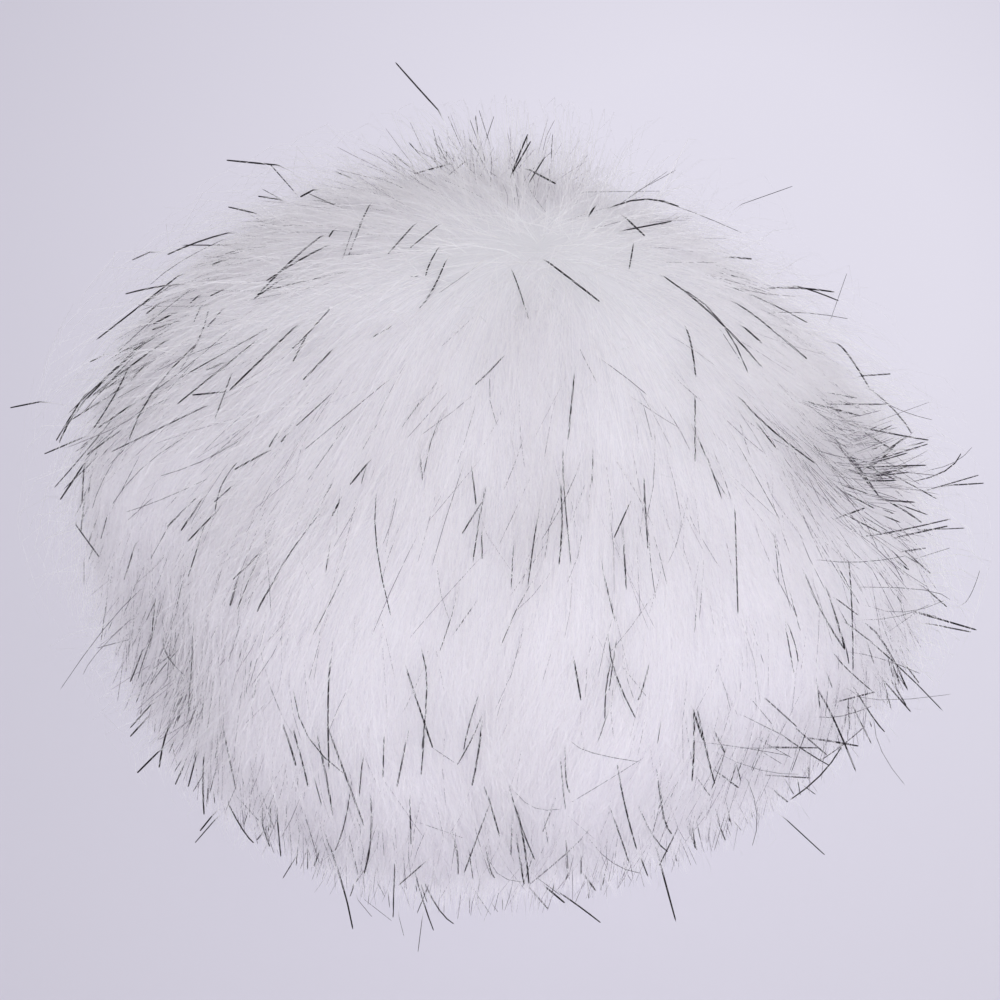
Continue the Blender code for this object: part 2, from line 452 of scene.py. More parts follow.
chance = np.random.default_rng(PILE_SEED)
roots = scattered(int(PILE_HAIRS * PILE_SPARE), chance)
kept = np.where(roots[:, 2] > CROWN_ABOVE, CROWN_KEPT, SIDES_KEPT)
kept = np.where(roots[:, 2] < UNDERSIDE_BELOW, UNDERSIDE_KEPT, kept)
roots = roots[chance.random(len(roots)) < kept][:PILE_HAIRS]
hairs = len(roots)
lock_roots = scattered(LOCKS, chance)
lock_tree = KDTree(LOCKS)
for number, lock_root in enumerate(lock_roots):
    lock_tree.insert(lock_root, number)
lock_tree.balance()
nearest_lock = np.array([lock_tree.find(root)[1] for root in roots])

axes, travel, sink = brushed(roots, chance)
long_ones = chance.random(hairs) < LONG_HAIRS
flying = chance.random(hairs) < FLYAWAYS
longer = chance.normal(0.0, LENGTH_SPREAD, hairs)
longer += long_ones * chance.exponential(LONG_HAIR_EXTRA, hairs)
longer += flying * chance.uniform(*FLYAWAY_EXTRA, hairs)
longer += long_ones * over_tufts(roots, "longer") * chance.uniform(*LONG_HAIR_TUFT_SHARE, hairs)
swaying = chance.normal(0.0, HAIR_SWAY, hairs) + PATCH_SWAY * patches(roots, PATCH_SWAY_COUNT, seed=22)
swaying += (long_ones | flying) * chance.normal(0.0, LONG_HAIR_SWAY, hairs)
paths = hair_paths(
    roots,
    -HAIR_DEPTH,
    longer,
    turned(axes, roots, swaying),
    travel * chance.uniform(*HAIR_TRAVEL_SPREAD, hairs),
    sink,
)

lock_axes, lock_travel, lock_sink = brushed(lock_roots, chance)
lock_hem = np.clip((HEM_FROM - lock_roots[:, 2]) / HEM_DEPTH, 0.0, 1.0)
wisps = lock_hem * chance.exponential(WISP_EXTRA, LOCKS)
lock_patches = PATCH_SWAY * patches(lock_roots, PATCH_SWAY_COUNT, seed=22)
lock_sway = chance.normal(0.0, LOCK_SWAY, LOCKS) + lock_patches
lock_paths = hair_paths(
    lock_roots,
    -HAIR_DEPTH,
    LOCK_RISE + wisps + chance.normal(0.0, LOCK_RISE_SPREAD, LOCKS),
    turned(lock_axes, lock_roots, lock_sway),
    lock_travel * chance.uniform(*LOCK_TRAVEL_SPREAD, LOCKS),
    lock_sink,
)
pull = LOCK_PULL * np.linspace(0.0, 1.0, HAIR_JOINTS + 1) ** LOCK_PULL_POWER
pull = pull[None, :] * np.where(long_ones | flying, LONG_HAIR_PULL, 1.0)[:, None]
pull *= 1.0 + WISP_PULL * np.clip((HEM_FROM - roots[:, 2]) / HEM_DEPTH, 0.0, 1.0)[:, None]
paths += (lock_paths[nearest_lock] - paths) * pull[..., None]
widths = HAIR_WIDTH * chance.uniform(*HAIR_WIDTH_SPREAD, hairs)[:, None] * HAIR_TAPER
tone = chance.uniform(*TONES, hairs)
roll = chance.normal(0.0, HAIR_ROLL, hairs)

white_hair, nodes, links = make_material("white_hair")
split = hair_map_split(nodes, links)
along_colour = colour_ramp(nodes, WHITE_ALONG)
tone_colour = colour_ramp(nodes, WHITE_TONES)
hair_colour = nodes.new("ShaderNodeMix")
hair_colour.data_type = "RGBA"
hair_colour.blend_type = "MULTIPLY"
hair_colour.inputs["Factor"].default_value = 1.0
fibre = nodes.new("ShaderNodeBsdfPrincipled")
fibre.inputs["Roughness"].default_value = 0.5
fibre.inputs["Specular IOR Level"].default_value = 0.2
glow = nodes.new("ShaderNodeBsdfTranslucent")
through = nodes.new("ShaderNodeMixShader")
through.inputs["Fac"].default_value = LIGHT_THROUGH
output = nodes.new("ShaderNodeOutputMaterial")
links.new(split.outputs["X"], tone_colour.inputs["Fac"])
links.new(split.outputs["Y"], along_colour.inputs["Fac"])
links.new(along_colour.outputs["Color"], hair_colour.inputs["A"])
links.new(tone_colour.outputs["Color"], hair_colour.inputs["B"])
links.new(hair_colour.outputs["Result"], fibre.inputs["Base Color"])
links.new(hair_colour.outputs["Result"], glow.inputs["Color"])
links.new(fibre.outputs["BSDF"], through.inputs[1])
links.new(glow.outputs["BSDF"], through.inputs[2])
links.new(through.outputs["Shader"], output.inputs["Surface"])

quarter = ((np.arctan2(roots[:, 1], roots[:, 0]) + math.pi / 4) // (math.pi / 2)).astype(int) % 4
quarter[roots[:, 2] > TOP_FROM] = TOP
for number, side in enumerate(PILE_SIDES):
    mine = quarter == number
    pile = hair_mesh(f"pile_{side}", paths[mine], widths[mine], tone[mine], roll[mine])
    pile.data.materials.append(white_hair)
    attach(pile, "root")


# The dark-tipped guard hairs: thicker, stiffer hairs knitted in among the white ones, white at the root and
# dyed nearly black over their outer part. They stand proud of the pile, thickest in the tufts and on the
# shoulders of the ball, and sparsest in front.
GUARD_SEED = 29
GUARD_HAIRS = 1000
GUARD_SPARE = 12
GUARD_WIDTH = 0.00022
GUARD_WIDTH_SPREAD = (0.55, 1.15)
GUARD_DEPTH = 0.16
GUARD_SWAY = 0.22
GUARD_TRAVEL_SPREAD = (0.70, 1.35)
GUARD_BEND = 0.03
GUARD_STOPS = np.array((0.0, 0.3, 0.5, 0.75, 0.96, 1.0))
GUARD_TAPER = np.array((0.35, 0.6, 1.0, 1.0, 0.85, 0.0))

# How thickly they grow, by the angle from the crown in degrees, in clumps, and thinned on the bare front
Growth = namedtuple("Growth", "angle crowding")
GUARD_GROWTH = (
    Growth(0, 0.08), Growth(25, 0.16), Growth(60, 0.20), Growth(85, 0.13),
    Growth(100, 0.12), Growth(115, 0.14), Growth(130, 0.07), Growth(142, 0.00),
)
SOWN_SHARE = 0.35
CLUMP_MEAN = 0.8
CLUMP_SWING = 0.7
CLUMP_LEAST = 0.1
CLUMP_COUNT = 9.0
DARK_TUFT_REACH = 0.85
BARE_FRONT = {"heading": 275, "angle": 62, "reach": 62}
BARE_FADE = 0.5
GUARD_BARE_SHARE = 0.28

# How far proud of the white pile stiff hairs end, and how much further they may below this height
Proud = namedtuple("Proud", "mean spread hem")
GUARD_PROUD = Proud(mean=0.0, spread=0.13, hem=0.14)
HEM_BELOW = -0.1
LEAST_PROUD = 0.02
STIFF_TUFT_SHARE = (0.3, 1.0)

# Their dye starts at a place along the hair that differs from hair to hair, and sets in over a short way
DYE_FROM = 0.35
DYE_FROM_SPREAD = 0.40
DYE_SETS_IN = (-0.03, 0.06)
UNDYED = (0.90, 0.89, 0.90, 1.0)
DYED = (0.014, 0.011, 0.013, 1.0)


def crowded(directions, growth, bare_share, kind):
    """How thickly dark hairs of this kind grow at each direction."""
    crowding = np.interp(from_crown(directions), *np.transpose(growth))
    crowding *= 1.0 - (1.0 - bare_share) * tuft_strength(directions, **BARE_FRONT) ** BARE_FADE
    for tuft in TUFTS:
        reach = tuft.reach * DARK_TUFT_REACH
        crowding += getattr(tuft, kind) * tuft_strength(directions, tuft.heading, tuft.angle, reach)
    clumps = CLUMP_MEAN + CLUMP_SWING * patches(directions, CLUMP_COUNT, seed=31)
    return crowding * np.clip(clumps, CLUMP_LEAST, None)


def sown(count, spare, growth, bare_share, kind, chance):
    """Roots for dark hairs of this kind, this many at most, out of spare ones spread evenly."""
    roots = scattered(count * spare, chance)
    crowding = crowded(roots, growth, bare_share, kind)
    return roots[chance.random(len(roots)) < crowding * SOWN_SHARE][:count]


def stiff_tips(roots, axes, travel, sink, proud, chance):
    """Where stiff hairs end, proud of the white pile and further out in the tufts and low down."""
    hairs = len(roots)
    past = over_tufts(roots, "longer") * chance.uniform(*STIFF_TUFT_SHARE, hairs)
    past += np.abs(chance.normal(proud.mean, proud.spread, hairs))
    past += np.where(roots[:, 2] < HEM_BELOW, proud.hem, 0.0) * chance.random(hairs)
    directions = turned(roots, axes, travel)
    tips = in_the_pile(directions, np.minimum(pile_length(directions) + LEAST_PROUD + past, LONGEST))
    tips[:, 2] -= sink
    return tips


def stiff_hairs(starts, tips, bends, stops):
    """Points along stiff hairs, each straight but for a bend to one side, as a share of its length."""
    forward = tips - starts
    side = unit(np.cross(forward, outward_at(tips)))
    bow = bends * np.linalg.norm(forward, axis=-1)
    points = starts[:, None] + forward[:, None] * stops[:, None]
    points += side[:, None] * (bow[:, None] * 4.0 * stops * (1.0 - stops))[..., None]
    points[..., 2] = np.maximum(points[..., 2], 2.0 * FLOOR_CLEARANCE)
    return points


chance = np.random.default_rng(GUARD_SEED)
roots = sown(GUARD_HAIRS, GUARD_SPARE, GUARD_GROWTH, GUARD_BARE_SHARE, "crowding", chance)
hairs = len(roots)
axes, travel, sink = brushed(roots, chance)
axes = turned(axes, roots, chance.normal(0.0, GUARD_SWAY, hairs))
travel *= chance.uniform(*GUARD_TRAVEL_SPREAD, hairs)
tips = stiff_tips(roots, axes, travel, sink, GUARD_PROUD, chance)
bends = chance.normal(0.0, GUARD_BEND, hairs)
paths = stiff_hairs(in_the_pile(roots, pile_length(roots) - GUARD_DEPTH), tips, bends, GUARD_STOPS)
widths = GUARD_WIDTH * chance.uniform(*GUARD_WIDTH_SPREAD, hairs)[:, None] * GUARD_TAPER
tone = chance.uniform(*TONES, hairs)
roll = chance.uniform(0.0, math.pi, hairs)

dark_tipped, nodes, links = make_material("dark_tipped_hair")
split = hair_map_split(nodes, links)
dyed_from = nodes.new("ShaderNodeMath")
dyed_from.operation = "MULTIPLY_ADD"
dyed_from.inputs[1].default_value = DYE_FROM_SPREAD
dyed_from.inputs[2].default_value = DYE_FROM
past_dye_line = nodes.new("ShaderNodeMath")
past_dye_line.operation = "SUBTRACT"
dye = nodes.new("ShaderNodeMapRange")
dye.inputs["From Min"].default_value = DYE_SETS_IN[0]
dye.inputs["From Max"].default_value = DYE_SETS_IN[1]
hair_colour = nodes.new("ShaderNodeMix")
hair_colour.data_type = "RGBA"
hair_colour.inputs["A"].default_value = UNDYED
hair_colour.inputs["B"].default_value = DYED
fibre = nodes.new("ShaderNodeBsdfPrincipled")
fibre.inputs["Roughness"].default_value = 0.50
fibre.inputs["Specular IOR Level"].default_value = 0.15
output = nodes.new("ShaderNodeOutputMaterial")
links.new(split.outputs["X"], dyed_from.inputs[0])
links.new(split.outputs["Y"], past_dye_line.inputs[0])
links.new(dyed_from.outputs["Value"], past_dye_line.inputs[1])
links.new(past_dye_line.outputs["Value"], dye.inputs["Value"])
links.new(dye.outputs["Result"], hair_colour.inputs["Factor"])
links.new(hair_colour.outputs["Result"], fibre.inputs["Base Color"])
links.new(fibre.outputs["BSDF"], output.inputs["Surface"])

guard = hair_mesh("guard_hairs", paths, widths, tone, roll, corners=3)
guard.data.materials.append(dark_tipped)
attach(guard, "root")


# The guard hairs that lie out in full view: stiff dark hairs like those above, and some finer, fainter ones
# of the same dyed fibre. They are placed one by one, by where the dark part of each starts, bends and ends
# in the picture, and are rooted in the pile behind that.
SEEN_SEED = 41
SEEN_WIDTH = 0.00028
FAINT_WIDTH = 0.00010
SEEN_WIDTH_SPREAD = (0.65, 1.1)
SEEN_TONE = 0.02
SEEN_PROUD = (0.03, 0.10, 0.16)
SEEN_STOPS = np.array((0.0, 0.25, 0.5, 0.75, 0.97, 1.0))
SEEN_TAPER = np.array((0.2, 0.2, 0.25, 0.8, 1.0, 1.0, 1.0, 0.8, 0.0))
SEEN_ALONG = np.array((0.0, 0.15, 0.3, 0.4, 0.6, 0.7, 0.8, 0.9, 1.0))
SIGHT_ROUNDS = 4

# The hidden root behind the dark part: its stops, how far it runs on straight, and how deep it goes
ROOT_STOPS = np.array((1.0, 0.65, 0.3))
ROOT_BACK = 0.0050
ROOT_DEPTH = 0.16

# The most that a hair comes nearer or goes back for each metre that shows. Those rooted near the edge, where
# the pile faces the camera less than this, are spread along the line of sight, and past the edge both ways.
SEEN_DEPTH = 0.6
EDGE_SPREAD = 0.016
EDGE_FACING = 0.35
PAST_EDGE = 0.05
SEEN_HAIRS = (
    # At the top
    ((438, 110), (418, 88), (395, 62)), ((512, 173), (528, 134)), ((512, 174), (531, 141)),
    ((530, 181), (545, 157)), ((530, 170), (556, 184)), ((467, 160), (434, 187)),
    ((450, 164), (414, 174)), ((413, 226), (388, 254)), ((437, 226), (410, 248)),
    ((437, 250), (427, 270), (425, 286)), ((445, 263), (432, 291), (419, 309)),
    ((513, 273), (521, 295), (532, 331)), ((548, 262), (573, 281), (600, 302)),
    ((501, 359), (489, 372), (475, 385)), ((614, 206), (648, 199), (680, 207)), ((625, 230), (672, 221)),
    ((626, 218), (645, 236)), ((633, 246), (629, 269)), ((594, 208), (588, 217)),
    ((352, 232), (342, 261)), ((361, 224), (347, 259)), ((369, 206), (359, 226)),
    ((333, 231), (329, 237)), ((293, 190), (270, 164)), ((313, 190), (300, 197)),
    ((278, 199), (258, 196)), ((254, 213), (228, 207)), ((228, 233), (198, 242), (167, 255)),
    ((150, 252), (132, 260)), ((729, 257), (752, 259)),
    # On the left
    ((279, 281), (254, 299)), ((265, 330), (180, 378)), ((294, 328), (229, 391)),
    ((330, 309), (300, 342), (292, 347)), ((307, 335), (293, 362)), ((330, 352), (303, 380)),
    ((256, 341), (176, 405)), ((231, 376), (215, 419)), ((223, 392), (192, 395)),
    ((172, 285), (142, 305)), ((208, 312), (199, 339), (180, 370)), ((145, 341), (107, 376), (68, 414)),
    ((145, 343), (85, 400), (59, 444)), ((128, 368), (114, 396), (93, 429)),
    ((194, 346), (152, 393), (129, 440)), ((204, 407), (111, 452)), ((131, 405), (98, 428)),
    ((110, 422), (82, 456), (54, 488)), ((120, 431), (87, 455)), ((84, 437), (44, 454)),
    ((85, 496), (81, 531)), ((76, 525), (99, 557)), ((107, 517), (101, 539)), ((135, 545), (124, 580)),
    ((118, 534), (94, 569)), ((194, 500), (167, 527)), ((202, 500), (181, 531)), ((231, 487), (214, 502)),
    ((267, 452), (234, 470)), ((235, 465), (221, 487), (215, 513)), ((213, 515), (187, 542)),
    ((279, 431), (269, 447)), ((330, 395), (296, 426)), ((258, 555), (233, 580)),
    ((317, 517), (292, 550), (274, 580)), ((203, 529), (188, 577)), ((278, 165), (226, 160)),
    ((40, 402), (10, 408)), ((320, 237), (290, 262), (254, 299)), ((326, 246), (296, 262), (266, 281)),
    ((178, 284), (150, 288), (125, 294)), ((222, 290), (210, 296)), ((160, 303), (146, 314)),
    ((172, 314), (153, 324)), ((175, 322), (152, 330)), ((200, 308), (194, 322)), ((104, 355), (90, 362)),
    ((134, 356), (108, 384), (82, 414)), ((164, 342), (128, 368), (92, 396)),
    ((85, 395), (70, 418), (56, 441)), ((92, 472), (88, 494)), ((84, 464), (60, 500)),
    ((78, 472), (70, 486)), ((84, 468), (82, 504)), ((340, 500), (332, 516)), ((286, 436), (281, 442)),
    ((178, 276), (141, 305), (96, 340)), ((148, 362), (130, 381)), ((221, 311), (207, 327)),
    ((221, 364), (206, 370)), ((240, 249), (225, 254)), ((221, 261), (212, 265)),
    ((198, 296), (190, 303)),
    # At the lower left
    ((275, 580), (265, 596), (257, 612)), ((237, 582), (230, 606)), ((155, 600), (152, 632)),
    ((156, 648), (164, 705), (177, 766)), ((168, 728), (163, 745), (159, 768)),
    ((154, 655), (147, 675), (136, 703)), ((142, 651), (135, 670), (130, 682)),
    ((163, 640), (168, 657), (185, 676)), ((151, 705), (130, 728)), ((162, 702), (130, 737)),
    ((158, 752), (137, 773)), ((257, 683), (253, 698)), ((204, 757), (203, 790), (204, 815)),
    ((212, 816), (200, 831)), ((215, 820), (195, 843)), ((237, 797), (259, 821)),
    ((260, 812), (264, 830), (270, 847)), ((277, 812), (279, 835), (281, 857)),
    ((229, 805), (243, 830), (254, 843)), ((196, 756), (188, 787)), ((190, 752), (175, 785)),
    ((222, 723), (229, 758), (236, 790)), ((284, 728), (290, 745), (296, 766)),
    ((294, 732), (303, 765), (308, 787)), ((294, 693), (309, 738), (345, 774)),
    ((318, 739), (326, 775), (333, 816)), ((330, 665), (328, 705), (329, 770)),
    ((330, 733), (345, 774), (365, 828)), ((350, 793), (344, 825), (335, 851)),
    ((371, 800), (371, 840), (364, 874)), ((325, 834), (341, 880), (353, 930)),
    # In the middle
    ((368, 463), (350, 485)), ((376, 499), (377, 548), (391, 616)), ((472, 471), (476, 505)),
    ((480, 505), (462, 534)), ((482, 536), (482, 559)), ((561, 488), (562, 525), (559, 565)),
    ((574, 378), (568, 440)), ((563, 454), (564, 490), (571, 565)), ((629, 505), (614, 538)),
    ((644, 480), (648, 549)), ((735, 512), (738, 614)), ((695, 400), (695, 462)),
    ((407, 670), (421, 712), (433, 748)), ((423, 655), (427, 688), (422, 750)),
    ((425, 724), (423, 750), (421, 775)), ((384, 740), (383, 778)), ((408, 733), (397, 787)),
    ((477, 700), (468, 730), (464, 750)), ((480, 720), (470, 742), (457, 765)),
    ((482, 724), (478, 755), (472, 786)), ((609, 641), (616, 675), (636, 719)),
    ((610, 666), (606, 690), (605, 720)), ((616, 644), (609, 691)), ((574, 661), (581, 701)),
    ((648, 668), (642, 690), (638, 700)),
    # Along the bottom
    ((412, 861), (423, 900), (434, 931)), ((426, 886), (440, 911), (454, 924)),
    ((451, 831), (457, 852), (458, 875)), ((410, 800), (411, 845)), ((485, 789), (490, 802), (500, 837)),
    ((489, 806), (478, 835), (464, 873)), ((510, 789), (521, 825), (535, 860)),
    ((518, 812), (525, 850), (529, 884)), ((588, 831), (568, 852), (529, 885)),
    ((486, 846), (490, 868), (495, 878)), ((512, 821), (511, 855)), ((566, 840), (568, 869)),
    ((560, 893), (580, 907), (601, 923)), ((547, 888), (565, 903)), ((583, 873), (596, 891)),
    ((565, 752), (566, 780), (570, 793)), ((561, 760), (563, 785), (566, 810)), ((516, 835), (524, 885)),
    ((527, 885), (548, 909)), ((395, 862), (394, 890), (393, 918)), ((318, 854), (314, 866)),
    ((349, 835), (358, 875)), ((611, 810), (621, 838), (629, 862)), ((618, 767), (625, 805), (637, 850)),
    ((639, 807), (654, 837), (668, 852)), ((654, 838), (662, 870), (676, 922)),
    ((660, 788), (664, 818), (672, 834)), ((677, 830), (659, 866)), ((687, 825), (697, 850)),
    ((657, 772), (660, 797)),
    # At the lower right
    ((694, 712), (694, 745), (692, 782)), ((694, 712), (703, 740)), ((698, 713), (706, 750), (715, 785)),
    ((715, 732), (725, 753)), ((715, 770), (739, 788)), ((697, 778), (710, 796)),
    ((766, 699), (797, 727)), ((797, 729), (827, 755)), ((785, 622), (789, 645), (794, 673)),
    ((788, 625), (795, 645), (798, 662)), ((836, 620), (845, 645), (849, 664)),
    ((849, 565), (852, 612), (853, 672)), ((848, 624), (893, 661), (943, 711)), ((878, 674), (911, 712)),
    ((866, 624), (885, 645), (908, 691)), ((907, 667), (919, 683)), ((836, 656), (848, 670), (873, 692)),
    ((818, 690), (835, 722), (856, 772)), ((855, 689), (873, 717), (885, 732)),
    ((824, 758), (845, 743), (865, 726)), ((841, 748), (820, 776), (790, 800)),
    ((802, 737), (830, 741), (859, 746)), ((768, 747), (820, 748)), ((775, 730), (807, 752), (829, 765)),
    ((765, 775), (811, 778)), ((770, 787), (788, 802)), ((787, 820), (825, 855)),
    ((840, 701), (875, 692)), ((805, 574), (822, 613), (845, 650)), ((828, 592), (837, 620), (845, 650)),
    # On the right
    ((780, 336), (807, 359)), ((838, 344), (850, 357), (870, 389)), ((862, 376), (891, 374)),
    ((830, 393), (857, 398)), ((829, 404), (890, 404)), ((808, 402), (861, 416)),
    ((846, 424), (895, 434), (929, 440)), ((834, 427), (843, 452), (880, 497)),
    ((841, 451), (860, 470), (879, 497)), ((880, 497), (905, 511), (922, 523)), ((872, 461), (907, 436)),
    ((893, 475), (912, 485), (937, 499)), ((860, 467), (927, 465)), ((878, 477), (910, 465)),
    ((912, 482), (945, 471), (961, 453)), ((928, 490), (979, 475)), ((953, 485), (984, 483)),
    ((840, 517), (865, 508)), ((867, 536), (898, 531), (951, 519)), ((898, 537), (948, 526)),
    ((905, 551), (926, 548)), ((905, 551), (931, 574)), ((898, 562), (909, 570)),
    ((924, 587), (947, 607)), ((930, 624), (971, 632)), ((912, 611), (977, 630)),
    ((838, 600), (858, 615)), ((688, 292), (722, 323), (748, 373)), ((665, 277), (712, 314), (763, 368)),
    ((745, 328), (762, 343)), ((734, 288), (772, 304), (808, 323)), ((736, 303), (758, 318), (780, 337)),
    ((770, 288), (800, 288), (835, 292)), ((796, 286), (816, 292), (839, 301)),
    ((872, 390), (896, 412), (912, 434)), ((858, 428), (896, 452)), ((876, 460), (928, 444)),
    ((866, 468), (880, 460), (896, 444)), ((856, 464), (874, 470), (896, 480)),
    ((852, 458), (872, 466), (884, 482)), ((850, 470), (868, 474), (896, 470)),
    ((846, 452), (858, 466), (868, 484)), ((912, 530), (965, 528)), ((742, 400), (772, 430), (816, 464)),
    ((687, 330), (692, 348), (696, 378)),
)
FAINT_HAIRS = (
    # At the top
    ((652, 199), (692, 212), (742, 233)), ((584, 192), (662, 191)), ((424, 152), (410, 122)),
    ((440, 155), (432, 126)), ((489, 142), (479, 110)), ((486, 140), (494, 116)),
    ((460, 144), (448, 116)), ((476, 136), (470, 120)), ((636, 192), (676, 170)),
    ((620, 204), (668, 171)), ((742, 204), (793, 186)),
    # On the left
    ((385, 383), (345, 416), (304, 450)), ((194, 362), (166, 393)), ((222, 240), (180, 262), (150, 285)),
    ((190, 290), (150, 322), (118, 352)), ((168, 330), (130, 352)), ((230, 330), (180, 372), (140, 400)),
    ((165, 400), (120, 425), (84, 462)), ((150, 380), (110, 402)), ((128, 440), (104, 478), (92, 510)),
    ((140, 455), (122, 490)), ((180, 440), (140, 470), (112, 505)), ((240, 440), (200, 462), (160, 476)),
    ((150, 500), (128, 520)), ((205, 480), (160, 500), (126, 512)), ((172, 520), (150, 560)),
    ((140, 590), (103, 630), (60, 690)), ((130, 620), (97, 653), (83, 675)), ((147, 635), (97, 648)),
    ((84, 560), (84, 584)),
    # Along the bottom
    ((640, 760), (605, 782), (570, 803)), ((516, 793), (535, 808), (560, 809)),
    ((573, 743), (593, 753), (640, 762)), ((420, 823), (463, 838)), ((487, 847), (497, 873), (523, 882)),
    ((433, 748), (455, 763)), ((590, 840), (613, 863), (640, 873)), ((748, 781), (757, 815), (752, 846)),
    ((422, 920), (418, 952)), ((365, 900), (392, 921)), ((300, 830), (296, 866)),
    ((358, 900), (372, 917)), ((378, 884), (385, 897)), ((442, 882), (449, 894)),
    ((468, 880), (480, 899), (491, 915)), ((493, 905), (498, 912)), ((371, 873), (368, 905)),
    ((540, 880), (560, 895)), ((399, 917), (404, 936)), ((382, 826), (384, 856)),
    ((379, 830), (377, 850)),
    # At the lower right
    ((732, 748), (816, 748)), ((744, 716), (784, 736)), ((752, 700), (772, 724)),
    ((760, 740), (792, 758)), ((756, 748), (782, 764)), ((820, 717), (842, 716), (872, 706)),
    ((849, 652), (882, 659), (921, 674)), ((881, 636), (900, 624), (917, 611)),
    ((700, 742), (745, 748), (790, 756)), ((715, 752), (760, 770), (800, 774)),
    # On the right
    ((722, 332), (740, 360)), ((863, 587), (924, 590), (950, 600)), ((966, 602), (973, 590), (980, 570)),
    ((832, 316), (847, 273)), ((772, 313), (808, 313), (849, 319)), ((874, 722), (882, 752), (905, 785)),
    ((868, 606), (905, 612), (945, 600)), ((862, 620), (900, 616), (930, 604)),
    ((850, 690), (880, 700), (952, 694)), ((912, 560), (950, 548)), ((820, 560), (860, 562), (905, 556)),
    ((930, 470), (955, 462), (972, 447)), ((880, 400), (905, 412), (933, 420)),
)

eye = np.array(camera.location)


def in_view(pixels, proud):
    """The point of the pile, this far proud of its white hairs, that shows at each pixel of the picture.

    Past the edge of the pile it is the point level with that edge.
    """
    across = (pixels[:, :1] - PICTURE_PIXELS / 2) * METRES_PER_PIXEL
    down = (pixels[:, 1:] - PICTURE_PIXELS / 2) * METRES_PER_PIXEL
    sight = np.array(looking) * CAMERA_DISTANCE + across * np.array(picture_right)
    sight = unit(sight - down * np.array(picture_up))
    share = np.full(len(pixels), PILE_LENGTH + proud)
    for _ in range(SIGHT_ROUNDS):
        centre = SKIN_CENTRE + (OUTLINE_CENTRE - SKIN_CENTRE) * share[:, None]
        size = SKIN_SIZE + (OUTLINE_SIZE - SKIN_SIZE) * share[:, None]
        step = sight / size
        gap = (eye - centre) / size
        a = np.sum(step * step, axis=-1)
        b = np.sum(step * gap, axis=-1)
        c = np.sum(gap * gap, axis=-1) - 1.0
        far = (-b - np.sqrt(np.maximum(b * b - a * c, 0.0))) / a
        points = eye + sight * far[:, None]
        share = pile_length(unit((points - centre) / size)) + proud
    above_floor = (2.0 * FLOOR_CLEARANCE - points[:, 2]) / -sight[:, 2]
    return points - sight * np.maximum(above_floor, 0.0)[:, None]


def marked(hair):
    """The start, bend and end of the dark part. A straight one is marked by its two ends alone."""
    return hair[0], hair[1] if len(hair) == 3 else np.mean(hair, axis=0), hair[-1]


chance = np.random.default_rng(SEEN_SEED)
marks = np.array([marked(hair) for hair in SEEN_HAIRS + FAINT_HAIRS])
hairs = len(marks)
begin, middle, end = (
    in_view(marks[:, number].astype(float), proud)
    for number, proud in enumerate(SEEN_PROUD)
)
to_camera = -np.array(looking)
for point in (middle, end):
    step = point - begin
    nearer = step @ to_camera
    sideways = np.linalg.norm(step - nearer[:, None] * to_camera, axis=-1)
    allowed = np.clip(nearer, -SEEN_DEPTH * sideways, SEEN_DEPTH * sideways)
    sight = unit(point - eye)
    point += sight * ((nearer - allowed) / -(sight @ to_camera))[:, None]
    point[:, 2] = np.maximum(point[:, 2], 2.0 * FLOOR_CLEARANCE)

facing = -np.sum(outward_at(begin) * unit(begin - eye), axis=-1)
spread = EDGE_SPREAD * np.clip(1.0 - facing / EDGE_FACING, 0.0, 1.0)
either_way = chance.uniform(-1.0, 1.0, hairs)
nearer_only = chance.uniform(0.0, 1.0, hairs)
spread *= np.where(facing < PAST_EDGE, either_way, nearer_only)
lowest = np.min((begin[:, 2], middle[:, 2], end[:, 2]), axis=0) - 2.0 * FLOOR_CLEARANCE
spread = np.maximum(spread, -lowest)
for point in (begin, middle, end):
    point -= unit(point - eye) * spread[:, None]

stops = SEEN_STOPS[:, None]
paths = begin[:, None] * (2 * (stops - 0.5) * (stops - 1)) + middle[:, None] * (4 * stops * (1 - stops))
paths += end[:, None] * (2 * stops * (stops - 0.5))
back = unit(paths[:, 0] - paths[:, 1])
root_paths = []
for stop in ROOT_STOPS:
    behind = begin + back * (ROOT_BACK * stop)
    direction = unit((behind - OUTLINE_CENTRE) / OUTLINE_SIZE)
    rooted = in_the_pile(direction, pile_length(direction) - ROOT_DEPTH)
    root_paths.append(behind + (rooted - behind) * stop**2)
paths = np.concatenate((np.stack(root_paths, axis=1), paths), axis=1)
paths[..., 2] = np.maximum(paths[..., 2], FLOOR_CLEARANCE)

widest = np.where(np.arange(hairs) < len(SEEN_HAIRS), SEEN_WIDTH, FAINT_WIDTH)
widths = (widest * chance.uniform(*SEEN_WIDTH_SPREAD, hairs))[:, None] * SEEN_TAPER
tone = np.full(hairs, SEEN_TONE)
roll = chance.uniform(0.0, math.pi, hairs)
seen = hair_mesh("guard_hairs_in_view", paths, widths, tone, roll, corners=3, along=SEEN_ALONG)
seen.data.materials.append(dark_tipped)
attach(seen, "root")


